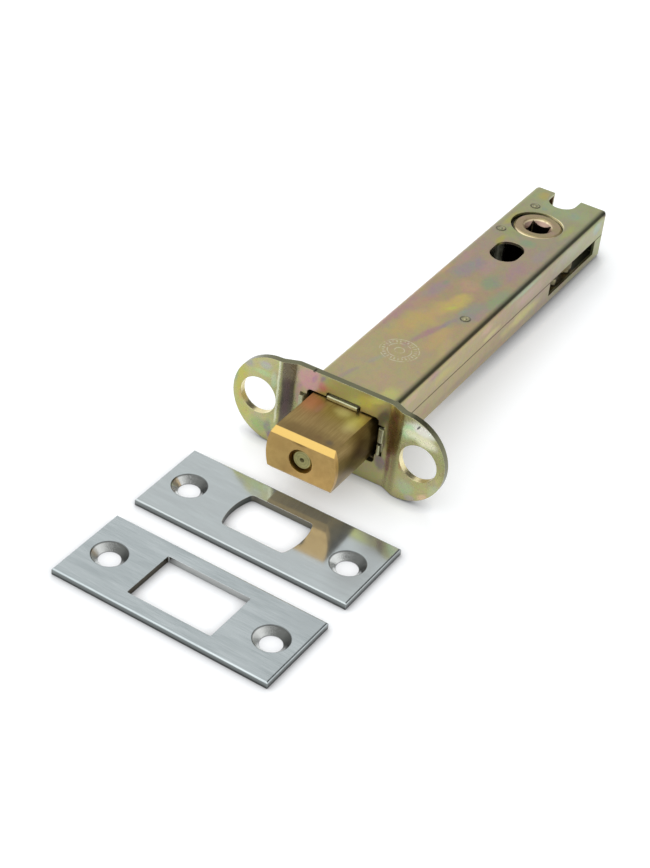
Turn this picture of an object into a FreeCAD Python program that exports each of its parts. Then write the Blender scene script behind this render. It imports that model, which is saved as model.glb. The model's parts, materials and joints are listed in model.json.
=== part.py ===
import FreeCAD, Part
import math
import os

# Tubular deadbolt with its loose face plate and strike plate.
# Millimetres. X runs along the forend, +Y goes into the door, +Z is the axis of the follower.
# The origin is the middle of the forend, on the axis of the bolt and level with the ears' front.

# Forend: one stamped strip with round ends, its middle set back from the ears
forend_length = 61.2
forend_height = 25.0
forend_thickness = 1.8
forend_recess = 1.8
forend_shoulder = 1.8
forend_slope = 3.9
forend_bend = 2.2
ear_margin = 7.4
ear_hole_diameter = 10.4

# Case: two folded channels that meet along a seam
case_width = 23.4
case_height = 14.5
case_sheet = 0.8
case_bend = 1.3
case_corner = 1.6
seam_height = 0.4
seam_bevel = 0.14
window_length = 29.8
window_depth = 4.7

# Tabs at the front of the case, peened over the forend
top_tab_width = 8.6
side_tab_width = 4.0
low_tab_width = 2.9
high_tab_lift = 0.05
low_tab_drop = 0.9
tab_proud = 0.8
top_tab_spread = 0.35
high_tab_spread = 0.65
low_tab_spread = 0.15
tab_gap = 0.6

# Holes of the webs: backset and offset of the follower's hole, holes for the bolts of the door furniture
follower_back = 113.1
hole_side = -1.2
rear_margin = 20.8
furniture_pitch = 19.0
slot_width = 8.4
slot_length = 11.6
square_across = 5.8
square_sink = 9.0
journal_hole_diameter = 15.1
journal_diameter = 13.9
journal_fit = 0.2
journal_inset = 0.05
journal_bevel = 0.6
drum_clear = 0.6
drum_gap = 0.12

# Lantern drive: two teeth of the follower work in three round pins of the drive bar
pin_margin = 1.8
pin_diameter = 2.4
pin_pitch_share = 0.8788
first_pin_back = 2.1
tooth_reach = 2.5
tooth_height = 1.9
tooth_gap = 0.2

# Bolt: a brass bar with flat top and bottom and round sides
bolt_side_gap = 1.05
bolt_side_radius = 16.0
bolt_length = 41.3
bolt_fit = 0.03
bolt_bevel = 1.4
bolt_inset = 0.05
bolt_gap = 0.35
recess_diameter = 6.6
recess_depth = 2.6

# Tie rivet through the bolt
tie_head_diameter = 5.3
tie_head_inset = 0.75
tie_shank_diameter = 4.0
tie_button_diameter = 5.4
tie_button_height = 1.0
tie_washer_diameter = 6.8
tie_washer_thickness = 0.8

# Carrier and drive bar behind the bolt
carrier_sheet = 1.4
carrier_top_gap = 2.2
carrier_bend = 0.25
carrier_length = 47.5
bar_sheet = 1.2
bar_front = 34.0
bar_rivet_diameter = 3.0
bar_rivet_head = 1.1
bar_rivet_side = -3.0
bar_rivet_spread = 7.5

# Posts that rivet the two channels together: distance from the side wall, distance along the case
front_post_margin = 4.9
front_post_back = 55.4
middle_post_margin = 2.45
middle_post_ahead = 8.5
rear_post_margin = 4.4
rear_post_behind = 9.7
front_post_diameter = 3.6
rear_post_diameter = 2.6
post_end_diameter = 2.6

# Friction spring on the two rear posts
spring_sheet = 0.4
spring_height = 6.0
spring_gap = 0.1

# Loose plates: size, holes and how they lie in front of the lock
plate_length = 61.2
plate_height = 24.8
plate_thickness = 1.8
plate_round = 0.5
screw_hole_diameter = 4.8
screw_sink_diameter = 9.2
strike_opening_length = 23.8
strike_opening_height = 16.0
strike_opening_corner = 0.5
face_plate_place = (-0.7, -29.8, -1.8)
strike_plate_place = (-1.6, -62.1, -2.2)

# Clearances
fit = 0.02
slide_gap = 0.12
side_gap = 0.35

# Worked out from the sizes above
case_front = forend_recess + forend_thickness
case_back = follower_back + rear_margin
case_half = case_width / 2
case_top = case_height / 2
inner_half = case_half - case_sheet
inner_top = case_top - case_sheet
follower_side = hole_side + (journal_hole_diameter - journal_diameter) / 2 - journal_fit
follower_axis = (follower_side, follower_back)
high_tab = (seam_height + high_tab_lift, seam_height + high_tab_lift + side_tab_width)
low_tab = (seam_height - low_tab_drop - low_tab_width, seam_height - low_tab_drop)
forend_middle = case_width + 2 * forend_shoulder
ear_hole_spacing = forend_length - 2 * ear_margin
front_post = (inner_half - front_post_margin, front_post_back)
middle_post = (middle_post_margin - inner_half, follower_back - middle_post_ahead)
rear_post = (rear_post_margin - inner_half, follower_back + rear_post_behind)
pin_side = inner_half - pin_margin
pitch_radius = pin_side - follower_side
turn = math.pi / 2
bolt_travel = pitch_radius * turn
pin_pitch = pitch_radius * pin_pitch_share
tooth_tip_radius = pitch_radius + tooth_reach
bolt_width = 2 * (inner_half - bolt_side_gap)
bolt_height = 2 * (inner_top - bolt_fit)
bolt_nose = -(plate_thickness + bolt_travel - bolt_inset)
bolt_tail = bolt_nose + bolt_length
bar_bottom = -inner_top + slide_gap
bar_top = bar_bottom + bar_sheet
carrier_top = bar_top + carrier_sheet
bar_right = inner_half - side_gap
carrier_back = bolt_tail + carrier_length
tooth_top = seam_height - 0.15
tooth_bottom = tooth_top - tooth_height
pin_radius = pin_diameter / 2
drum_radius = pitch_radius - pin_radius - drum_clear
lean = math.atan((forend_height / 2 - case_top) / (case_back - case_front))


def vec(x, y, z=0.0):
    return FreeCAD.Vector(x, y, z)


def block(x0, x1, y0, y1, z0, z1):
    return Part.makeBox(x1 - x0, y1 - y0, z1 - z0, vec(x0, y0, z0))


def rod_z(radius, x, y, z0, z1):
    return Part.makeCylinder(radius, z1 - z0, vec(x, y, z0))


def rod_y(radius, x, z, y0, y1):
    return Part.makeCylinder(radius, y1 - y0, vec(x, y0, z), vec(0, 1, 0))


def cone_z(radius0, radius1, x, y, z0, z1):
    return Part.makeCone(radius0, radius1, abs(z1 - z0), vec(x, y, z0), vec(0, 0, 1 if z1 > z0 else -1))


def slot_z(width, length, x, y, z0, z1):
    """A slot with round ends, along Y, cut from z0 to z1."""
    half = (length - width) / 2
    middle = block(x - width / 2, x + width / 2, y - half, y + half, z0, z1)
    ends = [rod_z(width / 2, x, y + side * half, z0, z1) for side in (-1, 1)]
    return middle.fuse(ends).removeSplitter()


def prism(edges, direction):
    return Part.Face(Part.Wire(Part.__sortEdges__(edges))).extrude(direction)


def polygon(points, direction):
    return Part.Face(Part.makePolygon(points + points[:1])).extrude(direction)


def rounded(shape, radius, chosen):
    """Rounds the edges for which chosen(edge) is true."""
    return shape.makeFillet(radius, [edge for edge in shape.Edges if chosen(edge)])


def upright(edge):
    first, last = edge.Vertexes[0].Point, edge.Vertexes[-1].Point
    return abs(first.z - last.z) > 0.05 and abs(first.x - last.x) < 0.001 and abs(first.y - last.y) < 0.001


def level(edge, z):
    return edge.BoundBox.ZLength < 0.001 and abs(edge.BoundBox.ZMin - z) < 0.001


# Case


def channel(outer_z):
    """A folded channel: its web lies at outer_z, its sides reach the seam and wrap round the rear."""
    def shell(half, web, bend, corner, front, back):
        low, high = min(web, seam_height), max(web, seam_height)
        body = block(-half, half, front, back, low, high)
        body = rounded(body, bend, lambda edge: level(edge, web) and edge.BoundBox.XLength < 0.001)
        plan = block(-half, half, front, back, low, high)
        plan = rounded(plan, corner, lambda edge: upright(edge) and edge.BoundBox.YMin > back - 0.001)
        return body.common(plan)
    web_inside = outer_z - math.copysign(case_sheet, outer_z)
    outside = shell(case_half, outer_z, case_bend, case_corner, case_front, case_back)
    outer_seam = [edge for edge in outside.Edges if level(edge, seam_height) and edge.BoundBox.XLength < 0.001]
    outside = outside.makeChamfer(seam_bevel, outer_seam)
    inside = shell(inner_half, web_inside, case_bend - case_sheet, case_corner - case_sheet,
                   case_front - 1, case_back - case_sheet)
    return outside.cut(inside)


def web_holes(outer_z):
    """Holes of one channel: follower, furniture bolt, post ends, and the notch through web and rear."""
    beyond = outer_z + math.copysign(1, outer_z)
    z0, z1 = sorted((beyond, outer_z - math.copysign(2 * case_sheet, outer_z)))
    n0, n1 = sorted((beyond, seam_height - math.copysign(1, outer_z)))
    y = follower_back
    tools = [
        rod_z(journal_hole_diameter / 2, hole_side, y, z0, z1),
        slot_z(slot_width, slot_length, hole_side, y - furniture_pitch, z0, z1),
        slot_z(slot_width, slot_length + 2 * rear_margin, hole_side, y + furniture_pitch + rear_margin, n0, n1),
    ]
    for post in (front_post, middle_post, rear_post):
        tools.append(rod_z(post_end_diameter / 2 + fit, post[0], post[1], z0, z1))
    return tools


def tab(across, up, spread_x, spread_z):
    """A tab of the case end: the stem goes through the forend, the peened head lies over it."""
    (x0, x1), (z0, z1) = across, up
    stem = block(x0, x1, forend_recess, case_front, z0, z1)
    head = block(min(x0, x0 + spread_x), max(x1, x1 + spread_x), forend_recess - tab_proud, forend_recess,
                 min(z0, z0 + spread_z), max(z1, z1 + spread_z))
    longest = max(x1 - x0, z1 - z0)
    head = rounded(head, tab_proud * 0.4, lambda edge: edge.BoundBox.YMax < forend_recess - tab_proud + 0.001
                   and edge.Length > longest * 0.9)
    return stem.fuse(head)


def end_tabs(outer_z, side_reach, side_spread):
    """One tab on the web and one on each side wall, from Z = side_reach[0] to side_reach[1]."""
    sign = math.copysign(1, outer_z)
    web = sorted((outer_z, outer_z - sign * case_sheet))
    tabs = [tab((-top_tab_width / 2, top_tab_width / 2), web, 0, sign * top_tab_spread)]
    for side in (-1, 1):
        across = sorted((side * inner_half, side * case_half))
        tabs.append(tab(across, side_reach, side * side_spread, 0))
    return tabs


def make_upper_shell():
    shell = channel(case_top).cut(web_holes(case_top))
    return shell.fuse(end_tabs(case_top, high_tab, high_tab_spread)).removeSplitter()


def make_lower_shell():
    window = block(inner_half - 0.5, case_half + 0.5, follower_back - window_length / 2,
                   follower_back + window_length / 2, seam_height - window_depth, seam_height + 0.5)
    shell = channel(-case_top).cut(web_holes(-case_top) + [window])
    return shell.fuse(end_tabs(-case_top, low_tab, low_tab_spread)).removeSplitter()


# Forend


def strip_profile():
    """Plan of the bent strip, as a closed line of points from the front face round the back."""
    middle, foot = forend_middle / 2, forend_middle / 2 + forend_slope
    end = forend_length / 2 + 1
    bend = math.atan2(forend_recess, forend_slope)
    shift = forend_thickness * math.tan(bend / 2)
    front = [(end, 0), (foot, 0), (middle, forend_recess)]
    back = [(middle + shift, case_front), (foot + shift, forend_thickness), (end, forend_thickness)]
    right = front + [(0, forend_recess)]
    left = [(-x, y) for x, y in reversed(front)]
    return right + left + [(-x, y) for x, y in reversed(back)] + back


def bolt_outline(grow, y):
    """Outline of the bolt bar in the plane at y: flats above and below, round sides."""
    half, top = bolt_width / 2 + grow, bolt_height / 2 + grow
    sag = bolt_side_radius - math.sqrt(bolt_side_radius ** 2 - (bolt_height / 2) ** 2)
    corner = half - sag
    return [
        Part.LineSegment(vec(-corner, y, top), vec(corner, y, top)).toShape(),
        Part.Arc(vec(corner, y, top), vec(half, y, 0), vec(corner, y, -top)).toShape(),
        Part.LineSegment(vec(corner, y, -top), vec(-corner, y, -top)).toShape(),
        Part.Arc(vec(-corner, y, -top), vec(-half, y, 0), vec(-corner, y, top)).toShape(),
    ]


def bolt_opening():
    """Opening of the forend: a rounded rectangle with notches for the tabs of the case."""
    y0, y1 = forend_recess - 1, case_front + 1
    half, top = bolt_width / 2 + bolt_gap * 1.5, bolt_height / 2 + bolt_gap
    hole = block(-half, half, y0, y1, -top, top)
    hole = rounded(hole, bolt_gap * 3, lambda edge: edge.BoundBox.YLength > 1)
    reach = top_tab_width / 2 + tab_gap
    notch_top = block(-reach, reach, y0, y1, -case_top - tab_gap, case_top + tab_gap)
    notch_side = block(-case_half - tab_gap, case_half + tab_gap, y0, y1, low_tab[0] - tab_gap, high_tab[1] + tab_gap)
    return hole.fuse([notch_top, notch_side])


def make_forend_plate():
    points = [vec(x, y, -forend_height) for x, y in strip_profile()]
    strip = polygon(points, vec(0, 0, 2 * forend_height))
    bends = (forend_middle / 2 - 0.2, forend_middle / 2 + forend_slope + 1.2)
    strip = rounded(strip, forend_bend, lambda edge: upright(edge) and bends[0] < abs(edge.BoundBox.XMin) < bends[1])
    straight = (forend_length - forend_height) / 2
    depth = case_front + 2
    outline = block(-straight, straight, -1, depth - 1, -forend_height / 2, forend_height / 2)
    ends = [rod_y(forend_height / 2, side * straight, 0, -1, depth - 1) for side in (-1, 1)]
    plate = strip.common(outline.fuse(ends).removeSplitter())
    radius = ear_hole_diameter / 2
    for side in (-1, 1):
        x = side * ear_hole_spacing / 2
        plate = plate.cut(rod_y(radius, x, 0, -1, depth))
    return plate.cut(bolt_opening()).removeSplitter()


# Posts and spring


def make_post(place, diameter):
    """A shouldered post: its body spaces the webs, its ends are riveted flush."""
    x, y = place
    body = rod_z(diameter / 2, x, y, -inner_top, inner_top)
    if diameter > post_end_diameter:
        body = body.fuse(rod_z(post_end_diameter / 2, x, y, -case_top, case_top))
    else:
        body = rod_z(post_end_diameter / 2, x, y, -case_top, case_top)
    return body.removeSplitter()


def make_friction_spring():
    """A strip bowed round the drum of the follower, each end curled round a rear post."""
    wrap = rear_post_diameter / 2 + 0.05 + spring_sheet / 2
    first, last = vec(*middle_post), vec(*rear_post)
    along = (last - first).normalize()
    outward = vec(-along.y, along.x)
    hub = vec(*follower_axis)
    lift = vec(0, 0, -spring_height / 2)

    def bow(offset):
        reach = drum_radius + spring_gap + spring_sheet / 2 + offset
        start = first + outward * (wrap + offset)
        end = last + outward * (wrap + offset)
        return start + lift, hub + outward * reach + lift, end + lift

    outer, inner = bow(spring_sheet / 2), bow(-spring_sheet / 2)
    strip = prism([
        Part.Arc(*outer).toShape(),
        Part.LineSegment(outer[2], inner[2]).toShape(),
        Part.Arc(*inner).toShape(),
        Part.LineSegment(inner[0], outer[0]).toShape(),
    ], vec(0, 0, spring_height))
    start = math.degrees(math.atan2(outward.y, outward.x))
    curls = []
    for centre, sweep in ((first, 210), (last, -210)):
        ring = Part.makeCylinder(wrap + spring_sheet / 2, spring_height, centre + lift, vec(0, 0, 1), abs(sweep))
        hole = Part.makeCylinder(wrap - spring_sheet / 2, spring_height, centre + lift)
        ring.rotate(centre, vec(0, 0, 1), min(start, start + sweep))
        curls.append(ring.cut(hole))
    return strip.fuse(curls).removeSplitter()


# Follower


def pin_places():
    """Where the drive pins stand along Y, from the rearmost to the front one."""
    return [follower_back + first_pin_back - count * pin_pitch for count in range(3)]


def tooth_space(along):
    """The space that a drive pin sweeps in the turning follower, for the pin at Y = along.

    Its flanks run beside the involute of the pitch circle, and its root is round.
    """
    reach = pin_radius + tooth_gap
    start = 2 * reach / pitch_radius

    def flank(sign):
        points = []
        for step in range(7):
            roll = start + (1.1 - start) * step / 6
            x = pitch_radius * (math.cos(roll) + roll * math.sin(roll)) - reach * math.sin(roll)
            y = pitch_radius * (math.sin(roll) - roll * math.cos(roll)) + reach * math.cos(roll)
            points.append(vec(x, sign * y, tooth_bottom - 1))
        return points

    upper, lower = flank(1), flank(-1)
    curves = []
    for points in (upper, lower):
        curve = Part.BSplineCurve()
        curve.interpolate(points)
        curves.append(curve.toShape())
    root = Part.Arc(upper[0], vec(pitch_radius - reach, 0, tooth_bottom - 1), lower[0]).toShape()
    mouth = Part.LineSegment(upper[-1], lower[-1]).toShape()
    space = prism(curves + [root, mouth], vec(0, 0, tooth_height + 2))
    space.rotate(vec(0, 0), vec(0, 0, 1), math.degrees((along - follower_back) / pitch_radius))
    space.translate(vec(*follower_axis))
    return space


def drive_teeth():
    """Two teeth, between the spaces of the three pins."""
    places = pin_places()
    margin = math.degrees(pin_radius / pitch_radius) / 2
    first, last = [math.degrees((place - follower_back) / pitch_radius) for place in (places[-1], places[0])]
    x, y = follower_axis
    sector = Part.makeCylinder(tooth_tip_radius, tooth_height, vec(x, y, tooth_bottom), vec(0, 0, 1),
                               last - first - 2 * margin)
    sector.rotate(vec(x, y), vec(0, 0, 1), first + margin)
    teeth = sector
    for place in places:
        teeth = teeth.cut(tooth_space(place))
    tips = [edge for edge in teeth.Edges if upright(edge)
            and abs(math.hypot(edge.BoundBox.XMin - x, edge.BoundBox.YMin - y) - tooth_tip_radius) < 0.01]
    return teeth.makeFillet(0.4, tips)


def make_follower():
    x, y = follower_axis
    face = case_top - journal_inset
    drum_top = inner_top - drum_gap
    journal = rod_z(journal_diameter / 2, x, y, -face, face)
    rims = [edge for edge in journal.Edges if level(edge, face) or level(edge, -face)]
    journal = journal.makeChamfer(journal_bevel, rims)
    drum = rod_z(drum_radius, x, y, -drum_top, drum_top)
    body = journal.fuse([drum, drive_teeth()]).removeSplitter()
    half = square_across / 2
    body = body.cut(block(x - half, x + half, y - half, y + half, -case_top, case_top))
    sink = square_sink / 2
    for sign in (-1, 1):
        body = body.cut(cone_z(sink, half, x, y, sign * face, sign * (face - sink + half)))
    return body


# Bolt and what it carries


def make_bolt_head():
    bar = prism(bolt_outline(0, bolt_nose), vec(0, bolt_length, 0))
    top = bolt_height / 2
    for sign in (-1, 1):
        corner = [
            vec(-bolt_width, bolt_nose - 1, sign * (top - bolt_bevel - 1)),
            vec(-bolt_width, bolt_nose + bolt_bevel + 1, sign * (top + 1)),
            vec(-bolt_width, bolt_nose - 1, sign * (top + 1)),
        ]
        bar = bar.cut(polygon(corner, vec(2 * bolt_width, 0, 0)))
    bar = bar.cut(rod_y(recess_diameter / 2, 0, 0, bolt_nose - 1, bolt_nose + recess_depth))
    return bar.cut(rod_y(tie_shank_diameter / 2 + fit, 0, 0, bolt_nose, bolt_tail + 1))


def make_tie_rivet():
    """Its front end shows in the recess of the bolt, its tail is riveted behind the washer."""
    front = bolt_nose + tie_head_inset
    seat = bolt_nose + recess_depth
    tail = bolt_tail + carrier_sheet + tie_washer_thickness
    head = rod_y(tie_head_diameter / 2, 0, 0, front, seat)
    head = head.makeChamfer(0.3, [edge for edge in head.Edges if edge.BoundBox.YMax < front + 0.01])
    shank = rod_y(tie_shank_diameter / 2, 0, 0, seat, tail)
    button = rod_y(tie_button_diameter / 2, 0, 0, tail, tail + tie_button_height)
    pit = Part.makeCone(0.55, 0.05, 0.6, vec(0, front, 0), vec(0, 1, 0))
    return head.fuse([shank, button]).cut(pit).removeSplitter()


def make_tie_washer():
    y0 = bolt_tail + carrier_sheet
    ring = rod_y(tie_washer_diameter / 2, 0, 0, y0, y0 + tie_washer_thickness)
    return ring.cut(rod_y(tie_shank_diameter / 2 + fit, 0, 0, y0 - 1, y0 + tie_washer_thickness + 1))


def rivet_places():
    middle = (bolt_tail + carrier_back) / 2
    return [(bar_rivet_side, middle + side * bar_rivet_spread) for side in (-1, 1)]


def guide_slot(z0, z1):
    """The slot that rides along the front post over the whole travel of the bolt."""
    x, y = front_post
    width = front_post_diameter + 2 * slide_gap
    return slot_z(width, width + bolt_travel + 2 * slide_gap, x, y - bolt_travel / 2, z0, z1)


def make_carrier_plate():
    """An angle of sheet: the upright stands behind the bolt, the foot lies on the drive bar."""
    foot = block(-bar_right, bar_right, bolt_tail, carrier_back, bar_top, carrier_top)
    upright_top = inner_top - carrier_top_gap
    wall = block(-bar_right, bar_right, bolt_tail, bolt_tail + carrier_sheet, bar_top, upright_top)
    corners = [edge for edge in wall.Edges if edge.BoundBox.ZMin > upright_top - 0.001
               and edge.BoundBox.XLength < 0.001]
    wall = wall.makeChamfer(2 * carrier_sheet, corners)
    plate = foot.fuse(wall).removeSplitter()
    for radius, y, z in ((carrier_bend, bolt_tail + carrier_sheet, carrier_top),
                         (carrier_bend + carrier_sheet, bolt_tail, bar_top)):
        plate = rounded(plate, radius, lambda edge: level(edge, z) and abs(edge.BoundBox.YMin - y) < 0.001
                        and edge.BoundBox.YLength < 0.001)
    tools = [guide_slot(bar_top - 1, carrier_top + 1),
             rod_y(tie_shank_diameter / 2 + fit, 0, 0, bolt_tail - 1, bolt_tail + carrier_sheet + 1)]
    for x, y in rivet_places():
        tools.append(rod_z(bar_rivet_diameter / 2 + fit, x, y, bar_top - 1, carrier_top + 1))
    return plate.cut(tools)


def bar_inner_edges():
    """X of the bar's inner edge beside the furniture hole and beside the follower."""
    beside_hole = hole_side + slot_width / 2 + 0.8
    beside_hub = follower_side + drum_radius + side_gap
    return beside_hole, beside_hub


def make_drive_bar():
    beside_hole, beside_hub = bar_inner_edges()
    hole_front = follower_back - furniture_pitch - slot_length / 2
    wide_back = hole_front - bolt_travel - 0.8
    clear = math.sqrt((drum_radius) ** 2 - (beside_hole - follower_side) ** 2)
    middle_back = follower_back - clear - bolt_travel - 0.7
    end = pin_places()[0] + pin_radius + 1.0
    outline = [
        vec(-bar_right, bar_front, bar_bottom),
        vec(bar_right, bar_front, bar_bottom),
        vec(bar_right, end, bar_bottom),
        vec(beside_hub, end, bar_bottom),
        vec(beside_hub, middle_back, bar_bottom),
        vec(beside_hole, middle_back, bar_bottom),
        vec(beside_hole, wide_back, bar_bottom),
        vec(-bar_right, wide_back, bar_bottom),
    ]
    bar = polygon(outline, vec(0, 0, bar_sheet))
    tools = [guide_slot(bar_bottom - 1, bar_top + 1)]
    for x, y in rivet_places():
        tools.append(rod_z(bar_rivet_diameter / 2 + fit, x, y, bar_bottom - 1, bar_top + 1))
    for y in pin_places():
        tools.append(rod_z(pin_radius + fit, pin_side, y, bar_bottom - 1, bar_top + 1))
    return bar.cut(tools)


def make_bar_rivet(place):
    x, y = place
    shank = rod_z(bar_rivet_diameter / 2, x, y, bar_bottom, carrier_top)
    head = rod_z(bar_rivet_diameter * 0.8, x, y, carrier_top, carrier_top + bar_rivet_head)
    return shank.fuse(head).removeSplitter()


def make_drive_pin(along):
    return rod_z(pin_radius, pin_side, along, bar_bottom, tooth_top + 0.5)


# Loose plates


def countersunk_plate(opening):
    """A flat plate with two countersunk screw holes and an opening, lying with its back at Z = 0."""
    length, height = plate_length / 2, plate_height / 2
    plate = block(-length, length, -height, height, 0, plate_thickness)
    plate = rounded(plate, plate_round, lambda edge: level(edge, plate_thickness))
    sink_depth = (screw_sink_diameter - screw_hole_diameter) / 2
    tools = [opening]
    for side in (-1, 1):
        x = side * ear_hole_spacing / 2
        tools.append(rod_z(screw_hole_diameter / 2, x, 0, -1, plate_thickness + 1))
        drop = min(sink_depth, plate_thickness)
        tools.append(cone_z(screw_sink_diameter / 2, screw_sink_diameter / 2 - drop, x, 0,
                            plate_thickness, plate_thickness - drop))
    return plate.cut(tools)


def lay(shape, place):
    """Turns and moves a plate on the floor, then leans the floor as the lock rests on it."""
    x, y, angle = place
    floor = forend_height / 2 * math.cos(lean) + case_front * math.sin(lean)
    flat = FreeCAD.Placement(vec(x, y, 0), FreeCAD.Rotation(vec(0, 0, 1), angle))
    drop = FreeCAD.Placement(vec(0, 0, -floor), FreeCAD.Rotation())
    tilt = FreeCAD.Placement(vec(0, 0, 0), FreeCAD.Rotation(vec(1, 0, 0), math.degrees(lean)))
    return shape.transformed(tilt.multiply(drop).multiply(flat).toMatrix(), True)


def make_face_plate():
    edges = bolt_outline(bolt_gap, 0)
    opening = prism(edges, vec(0, 2 * plate_thickness + 2, 0))
    opening = rounded(opening, 1.2, lambda edge: edge.BoundBox.YLength > plate_thickness)
    opening.rotate(vec(0, 0), vec(1, 0, 0), 90)
    opening.translate(vec(0, 0, -1))
    return lay(countersunk_plate(opening), face_plate_place)


def make_strike_plate():
    length, height = strike_opening_length / 2, strike_opening_height / 2
    opening = block(-length, length, -height, height, -1, plate_thickness + 1)
    opening = rounded(opening, strike_opening_corner, upright)
    return lay(countersunk_plate(opening), strike_plate_place)


nodes = {
    "upper_shell": make_upper_shell(),
    "lower_shell": make_lower_shell(),
    "forend_plate": make_forend_plate(),
    "front_post": make_post(front_post, front_post_diameter),
    "middle_post": make_post(middle_post, rear_post_diameter),
    "rear_post": make_post(rear_post, rear_post_diameter),
    "friction_spring": make_friction_spring(),
    "follower": make_follower(),
    "bolt_head": make_bolt_head(),
    "tie_rivet": make_tie_rivet(),
    "tie_washer": make_tie_washer(),
    "carrier_plate": make_carrier_plate(),
    "drive_bar": make_drive_bar(),
    "face_plate": make_face_plate(),
    "strike_plate": make_strike_plate(),
}
for name, place in zip(("bar_rivet_front", "bar_rivet_rear"), rivet_places()):
    nodes[name] = make_bar_rivet(place)
for name, along in zip(("drive_pin_rear", "drive_pin_middle", "drive_pin_front"), pin_places()):
    nodes[name] = make_drive_pin(along)

os.makedirs("parts", exist_ok=True)
for name, shape in nodes.items():
    shape.exportStep("parts/" + name + ".step")
    print(name, len(shape.Solids), "solid", round(shape.Volume, 1), "mm3")
print("follower turns", round(math.degrees(turn), 3), "degrees, plates lean", round(math.degrees(lean), 3))
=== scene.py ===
import json
import math
import bpy
from mathutils import Matrix, Vector


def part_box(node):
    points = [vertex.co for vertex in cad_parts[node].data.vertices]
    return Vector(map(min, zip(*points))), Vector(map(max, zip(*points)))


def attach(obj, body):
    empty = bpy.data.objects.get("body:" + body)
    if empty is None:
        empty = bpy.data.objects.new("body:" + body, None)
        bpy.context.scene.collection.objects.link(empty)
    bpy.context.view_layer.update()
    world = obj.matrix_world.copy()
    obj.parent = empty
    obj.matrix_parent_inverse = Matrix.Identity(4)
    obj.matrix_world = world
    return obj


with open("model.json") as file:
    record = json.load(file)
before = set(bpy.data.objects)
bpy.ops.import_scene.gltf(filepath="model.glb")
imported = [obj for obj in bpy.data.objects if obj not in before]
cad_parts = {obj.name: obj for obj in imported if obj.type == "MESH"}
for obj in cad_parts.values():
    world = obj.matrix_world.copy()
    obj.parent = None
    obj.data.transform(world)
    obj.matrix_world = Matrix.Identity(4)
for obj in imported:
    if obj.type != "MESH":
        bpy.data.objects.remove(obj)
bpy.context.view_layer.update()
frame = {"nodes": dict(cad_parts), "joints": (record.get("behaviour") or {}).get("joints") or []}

scene = bpy.context.scene
mm = 0.001


class Wire:              # a shader socket that can stand in a Python sum
    def __init__(self, paint, socket):
        self.paint = paint
        self.socket = socket

    def size(self):                          # without its sign
        return self.paint.math("ABSOLUTE", self)

    def __add__(self, other):
        return self.paint.math("ADD", self, other)

    def __radd__(self, other):
        return self.paint.math("ADD", other, self)

    def __sub__(self, other):
        return self.paint.math("SUBTRACT", self, other)

    def __rsub__(self, other):
        return self.paint.math("SUBTRACT", other, self)

    def __mul__(self, other):
        return self.paint.math("MULTIPLY", self, other)

    def __rmul__(self, other):
        return self.paint.math("MULTIPLY", other, self)

    def __truediv__(self, other):
        return self.paint.math("DIVIDE", self, other)

    def __pow__(self, other):
        return self.paint.math("POWER", self, other)


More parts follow.
